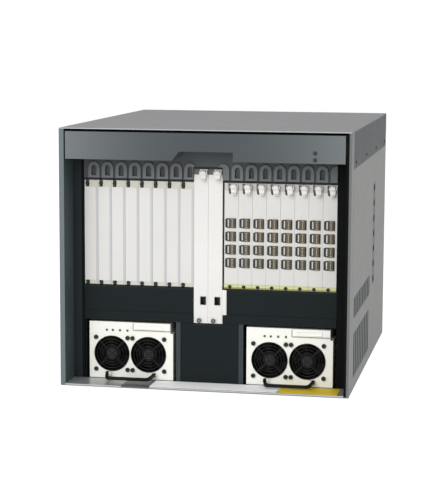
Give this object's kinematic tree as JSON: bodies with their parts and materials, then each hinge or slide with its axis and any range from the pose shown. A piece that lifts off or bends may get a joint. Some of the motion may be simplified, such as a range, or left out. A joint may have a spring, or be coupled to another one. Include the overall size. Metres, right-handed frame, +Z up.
{
  "type": "modular chassis switch",
  "caption": "Rack chassis with a row of upright slide-in modules behind a recess, power supplies with fans below, and a bezel above.",
  "frame": {"origin": "middle of the base", "axes": "+X to the right seen from the front, +Y from the front to the back, +Z up"},
  "size_m": [0.445, 0.546, 0.397],
  "materials": {
    "case_paint": "satin light grey paint",
    "cover_paint": "satin light grey paint",
    "liner_black": "satin black paint",
    "sill_metal": "brushed",
    "strip_film": "printed film, white and yellow",
    "bezel_paint": "satin mid grey paint",
    "lamp_lens": "clear green lens",
    "intake_plastic": "moulded, light grey",
    "cage_steel": "plain zinc plated",
    "circuit_board": "green laminate",
    "panel_dark": "satin dark grey paint",
    "bay_steel": "satin dark grey paint",
    "rear_paint": "satin light grey paint",
    "inlet_plastic": "moulded, black",
    "switch_plastic": "moulded, black",
    "filler_paint": "satin off-white paint",
    "card_paint": "satin off-white paint",
    "lever_plastic": "moulded, white",
    "supply_paint": "satin off-white paint",
    "bail_plastic": "moulded, black",
    "rotor_plastic": "moulded, black",
    "module_paint": "satin light grey paint"
  },
  "bodies": {
    "chassis": {"chassis_shell": "case_paint", "top_cover": "cover_paint", "front_liner": "liner_black", "sill": "sill_metal", "sill_strips": "strip_film", "bezel": "bezel_paint", "status_lamps": "lamp_lens", "intake_grille": "intake_plastic", "card_cage": "cage_steel", "backplane": "circuit_board", "lower_panel": "panel_dark", "power_bay": "bay_steel", "rear_panel": "rear_paint", "power_module": "rear_paint", "inlet_sockets": "inlet_plastic"},
    "power_switch": {"power_switch": "switch_plastic"},
    "filler_1": {"filler_1": "filler_paint"},
    "filler_2": {"filler_2": "filler_paint"},
    "filler_3": {"filler_3": "filler_paint"},
    "filler_4": {"filler_4": "filler_paint"},
    "filler_5": {"filler_5": "filler_paint"},
    "filler_6": {"filler_6": "filler_paint"},
    "filler_7": {"filler_7": "filler_paint"},
    "filler_8": {"filler_8": "filler_paint"},
    "control_card_1": {"control_card_1": "card_paint"},
    "control_lever_1": {"control_lever_1": "lever_plastic"},
    "control_card_2": {"control_card_2": "card_paint"},
    "control_lever_2": {"control_lever_2": "lever_plastic"},
    "port_card_1": {"port_card_1": "card_paint"},
    "port_lever_1": {"port_lever_1": "lever_plastic"},
    "port_card_2": {"port_card_2": "card_paint"},
    "port_lever_2": {"port_lever_2": "lever_plastic"},
    "port_card_3": {"port_card_3": "card_paint"},
    "port_lever_3": {"port_lever_3": "lever_plastic"},
    "port_card_4": {"port_card_4": "card_paint"},
    "port_lever_4": {"port_lever_4": "lever_plastic"},
    "port_card_5": {"port_card_5": "card_paint"},
    "port_lever_5": {"port_lever_5": "lever_plastic"},
    "port_card_6": {"port_card_6": "card_paint"},
    "port_lever_6": {"port_lever_6": "lever_plastic"},
    "port_card_7": {"port_card_7": "card_paint"},
    "port_lever_7": {"port_lever_7": "lever_plastic"},
    "port_card_8": {"port_card_8": "card_paint"},
    "port_lever_8": {"port_lever_8": "lever_plastic"},
    "supply_left": {"supply_left": "supply_paint"},
    "supply_bail_left": {"supply_bail_left": "bail_plastic"},
    "supply_rotor_left_a": {"supply_rotor_left_a": "rotor_plastic"},
    "supply_rotor_left_b": {"supply_rotor_left_b": "rotor_plastic"},
    "supply_right": {"supply_right": "supply_paint"},
    "supply_bail_right": {"supply_bail_right": "bail_plastic"},
    "supply_rotor_right_a": {"supply_rotor_right_a": "rotor_plastic"},
    "supply_rotor_right_b": {"supply_rotor_right_b": "rotor_plastic"},
    "fan_module_lower": {"fan_module_lower": "module_paint"},
    "fan_rotor_lower_a": {"fan_rotor_lower_a": "rotor_plastic"},
    "fan_rotor_lower_b": {"fan_rotor_lower_b": "rotor_plastic"},
    "fan_rotor_lower_c": {"fan_rotor_lower_c": "rotor_plastic"},
    "fan_module_upper": {"fan_module_upper": "module_paint"},
    "fan_rotor_upper_a": {"fan_rotor_upper_a": "rotor_plastic"},
    "fan_rotor_upper_b": {"fan_rotor_upper_b": "rotor_plastic"},
    "fan_rotor_upper_c": {"fan_rotor_upper_c": "rotor_plastic"}
  },
  "joints": [
    {"name": "power_switch_rock", "type": "hinge", "parent": "chassis", "child": "power_switch", "pos_m": [0, 0.248, 0.055], "axis": [-1, 0, 0], "range_deg": [0, 20]},
    {"name": "filler_1_slide", "type": "slide", "parent": "chassis", "child": "filler_1", "axis": [0, -1, 0], "range_m": [0, 0.085]},
    {"name": "filler_2_slide", "type": "slide", "parent": "chassis", "child": "filler_2", "axis": [0, -1, 0], "range_m": [0, 0.085]},
    {"name": "filler_3_slide", "type": "slide", "parent": "chassis", "child": "filler_3", "axis": [0, -1, 0], "range_m": [0, 0.085]},
    {"name": "filler_4_slide", "type": "slide", "parent": "chassis", "child": "filler_4", "axis": [0, -1, 0], "range_m": [0, 0.085]},
    {"name": "filler_5_slide", "type": "slide", "parent": "chassis", "child": "filler_5", "axis": [0, -1, 0], "range_m": [0, 0.085]},
    {"name": "filler_6_slide", "type": "slide", "parent": "chassis", "child": "filler_6", "axis": [0, -1, 0], "range_m": [0, 0.085]},
    {"name": "filler_7_slide", "type": "slide", "parent": "chassis", "child": "filler_7", "axis": [0, -1, 0], "range_m": [0, 0.085]},
    {"name": "filler_8_slide", "type": "slide", "parent": "chassis", "child": "filler_8", "axis": [0, -1, 0], "range_m": [0, 0.085]},
    {"name": "control_card_1_slide", "type": "slide", "parent": "chassis", "child": "control_card_1", "axis": [0, -1, 0], "range_m": [0, 0.25]},
    {"name": "control_lever_1_swing", "type": "hinge", "parent": "control_card_1", "child": "control_lever_1", "pos_m": [-0.00875, -0.2276, 0.329], "axis": [-1, 0, 0], "range_deg": [0, 70]},
    {"name": "control_card_2_slide", "type": "slide", "parent": "chassis", "child": "control_card_2", "axis": [0, -1, 0], "range_m": [0, 0.25]},
    {"name": "control_lever_2_swing", "type": "hinge", "parent": "control_card_2", "child": "control_lever_2", "pos_m": [0.01345, -0.2276, 0.329], "axis": [-1, 0, 0], "range_deg": [0, 70]},
    {"name": "port_card_1_slide", "type": "slide", "parent": "chassis", "child": "port_card_1", "axis": [0, -1, 0], "range_m": [0, 0.25]},
    {"name": "port_lever_1_swing", "type": "hinge", "parent": "port_card_1", "child": "port_lever_1", "pos_m": [0.03855, -0.2276, 0.309], "axis": [-1, 0, 0], "range_deg": [0, 70]},
    {"name": "port_card_2_slide", "type": "slide", "parent": "chassis", "child": "port_card_2", "axis": [0, -1, 0], "range_m": [0, 0.25]},
    {"name": "port_lever_2_swing", "type": "hinge", "parent": "port_card_2", "child": "port_lever_2", "pos_m": [0.06015, -0.2276, 0.309], "axis": [-1, 0, 0], "range_deg": [0, 70]},
    {"name": "port_card_3_slide", "type": "slide", "parent": "chassis", "child": "port_card_3", "axis": [0, -1, 0], "range_m": [0, 0.25]},
    {"name": "port_lever_3_swing", "type": "hinge", "parent": "port_card_3", "child": "port_lever_3", "pos_m": [0.08175, -0.2276, 0.309], "axis": [-1, 0, 0], "range_deg": [0, 70]},
    {"name": "port_card_4_slide", "type": "slide", "parent": "chassis", "child": "port_card_4", "axis": [0, -1, 0], "range_m": [0, 0.25]},
    {"name": "port_lever_4_swing", "type": "hinge", "parent": "port_card_4", "child": "port_lever_4", "pos_m": [0.10335, -0.2276, 0.309], "axis": [-1, 0, 0], "range_deg": [0, 70]},
    {"name": "port_card_5_slide", "type": "slide", "parent": "chassis", "child": "port_card_5", "axis": [0, -1, 0], "range_m": [0, 0.25]},
    {"name": "port_lever_5_swing", "type": "hinge", "parent": "port_card_5", "child": "port_lever_5", "pos_m": [0.12495, -0.2276, 0.309], "axis": [-1, 0, 0], "range_deg": [0, 70]},
    {"name": "port_card_6_slide", "type": "slide", "parent": "chassis", "child": "port_card_6", "axis": [0, -1, 0], "range_m": [0, 0.25]},
    {"name": "port_lever_6_swing", "type": "hinge", "parent": "port_card_6", "child": "port_lever_6", "pos_m": [0.14655, -0.2276, 0.309], "axis": [-1, 0, 0], "range_deg": [0, 70]},
    {"name": "port_card_7_slide", "type": "slide", "parent": "chassis", "child": "port_card_7", "axis": [0, -1, 0], "range_m": [0, 0.25]},
    {"name": "port_lever_7_swing", "type": "hinge", "parent": "port_card_7", "child": "port_lever_7", "pos_m": [0.16815, -0.2276, 0.309], "axis": [-1, 0, 0], "range_deg": [0, 70]},
    {"name": "port_card_8_slide", "type": "slide", "parent": "chassis", "child": "port_card_8", "axis": [0, -1, 0], "range_m": [0, 0.25]},
    {"name": "port_lever_8_swing", "type": "hinge", "parent": "port_card_8", "child": "port_lever_8", "pos_m": [0.18975, -0.2276, 0.309], "axis": [-1, 0, 0], "range_deg": [0, 70]},
    {"name": "supply_left_slide", "type": "slide", "parent": "chassis", "child": "supply_left", "axis": [0, -1, 0], "range_m": [0, 0.22]},
    {"name": "supply_bail_left_swing", "type": "hinge", "parent": "supply_left", "child": "supply_bail_left", "pos_m": [-0.1231, -0.2272, 0.012], "axis": [-1, 0, 0], "range_deg": [0, 80]},
    {"name": "supply_rotor_left_a_spin", "type": "hinge", "parent": "supply_left", "child": "supply_rotor_left_a", "pos_m": [-0.1539, -0.2121, 0.043], "axis": [0, 1, 0], "continuous": true},
    {"name": "supply_rotor_left_b_spin", "type": "hinge", "parent": "supply_left", "child": "supply_rotor_left_b", "pos_m": [-0.0955, -0.2121, 0.043], "axis": [0, 1, 0], "continuous": true},
    {"name": "supply_right_slide", "type": "slide", "parent": "chassis", "child": "supply_right", "axis": [0, -1, 0], "range_m": [0, 0.22]},
    {"name": "supply_bail_right_swing", "type": "hinge", "parent": "supply_right", "child": "supply_bail_right", "pos_m": [0.1259, -0.2272, 0.012], "axis": [-1, 0, 0], "range_deg": [0, 80]},
    {"name": "supply_rotor_right_a_spin", "type": "hinge", "parent": "supply_right", "child": "supply_rotor_right_a", "pos_m": [0.0951, -0.2121, 0.043], "axis": [0, 1, 0], "continuous": true},
    {"name": "supply_rotor_right_b_spin", "type": "hinge", "parent": "supply_right", "child": "supply_rotor_right_b", "pos_m": [0.1535, -0.2121, 0.043], "axis": [0, 1, 0], "continuous": true},
    {"name": "fan_module_lower_slide", "type": "slide", "parent": "chassis", "child": "fan_module_lower", "axis": [0, 1, 0], "range_m": [0, 0.045]},
    {"name": "fan_rotor_lower_a_spin", "type": "hinge", "parent": "fan_module_lower", "child": "fan_rotor_lower_a", "pos_m": [-0.122, 0.2293, 0.179], "axis": [0, 1, 0], "continuous": true},
    {"name": "fan_rotor_lower_b_spin", "type": "hinge", "parent": "fan_module_lower", "child": "fan_rotor_lower_b", "pos_m": [0, 0.2293, 0.179], "axis": [0, 1, 0], "continuous": true},
    {"name": "fan_rotor_lower_c_spin", "type": "hinge", "parent": "fan_module_lower", "child": "fan_rotor_lower_c", "pos_m": [0.122, 0.2293, 0.179], "axis": [0, 1, 0], "continuous": true},
    {"name": "fan_module_upper_slide", "type": "slide", "parent": "chassis", "child": "fan_module_upper", "axis": [0, 1, 0], "range_m": [0, 0.045]},
    {"name": "fan_rotor_upper_a_spin", "type": "hinge", "parent": "fan_module_upper", "child": "fan_rotor_upper_a", "pos_m": [-0.122, 0.2293, 0.317], "axis": [0, 1, 0], "continuous": true},
    {"name": "fan_rotor_upper_b_spin", "type": "hinge", "parent": "fan_module_upper", "child": "fan_rotor_upper_b", "pos_m": [0, 0.2293, 0.317], "axis": [0, 1, 0], "continuous": true},
    {"name": "fan_rotor_upper_c_spin", "type": "hinge", "parent": "fan_module_upper", "child": "fan_rotor_upper_c", "pos_m": [0.122, 0.2293, 0.317], "axis": [0, 1, 0], "continuous": true}
  ]
}
